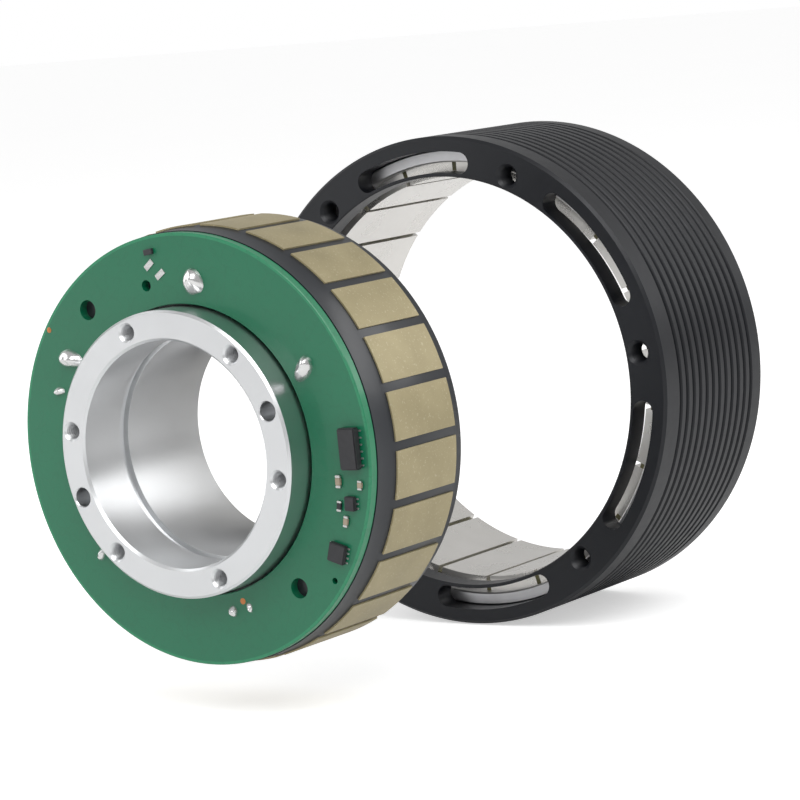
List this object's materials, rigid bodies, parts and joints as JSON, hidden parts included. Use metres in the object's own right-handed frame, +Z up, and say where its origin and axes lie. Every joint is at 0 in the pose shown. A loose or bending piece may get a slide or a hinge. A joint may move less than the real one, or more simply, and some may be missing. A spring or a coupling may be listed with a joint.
{
  "type": "frameless outer-rotor motor",
  "caption": "Frameless outer-rotor motor kit: a wound stator with hub and encoder board, and a ribbed permanent-magnet rotor ring drawn off along its axis.",
  "frame": {"origin": "on the motor axis, at the front face of the mounting hub", "axes": "+Y along the motor axis from the front of the stator to the rear; +Z up; +X to the right seen from the front"},
  "size_m": [0.086, 0.111, 0.086],
  "materials": {
    "hub_metal": "satin turned",
    "board": "solder mask",
    "core_steel": "punched edges under varnish",
    "insulator": "moulded",
    "copper": "enamelled wire",
    "resin": "cast resin",
    "solder": "solder",
    "package": "moulded package",
    "black_anodise": "black anodised, turned",
    "yoke_steel": "turned",
    "magnet": "nickel plated",
    "bond": "adhesive"
  },
  "bodies": {
    "stator": {"mounting_hub": "hub_metal", "encoder_board": "board", "lamination_stack": "core_steel", "front_insulator": "insulator", "rear_insulator": "insulator", "coils_phase_a": "copper", "coils_phase_b": "copper", "coils_phase_c": "copper", "winding_resin": "resin", "lead_pins": "copper", "phase_joints": "solder", "signal_joints": "solder", "sensor_package": "package", "driver_chips": "package", "small_parts": "package", "thermistor": "package", "thermistor_pads": "solder"},
    "rotor": {"rotor_shell": "black_anodise", "yoke_ring": "yoke_steel", "magnet_01": "magnet", "magnet_02": "magnet", "magnet_03": "magnet", "magnet_04": "magnet", "magnet_05": "magnet", "magnet_06": "magnet", "magnet_07": "magnet", "magnet_08": "magnet", "magnet_09": "magnet", "magnet_10": "magnet", "magnet_11": "magnet", "magnet_12": "magnet", "magnet_13": "magnet", "magnet_14": "magnet", "magnet_15": "magnet", "magnet_16": "magnet", "magnet_17": "magnet", "magnet_18": "magnet", "magnet_19": "magnet", "magnet_20": "magnet", "magnet_21": "magnet", "magnet_22": "magnet", "magnet_bond": "bond"}
  },
  "joints": [
    {"name": "rotor_spin", "type": "hinge", "parent": "stator", "child": "rotor", "pos_m": [0, 0.0945, 0], "axis": [0, 1, 0], "continuous": true}
  ]
}
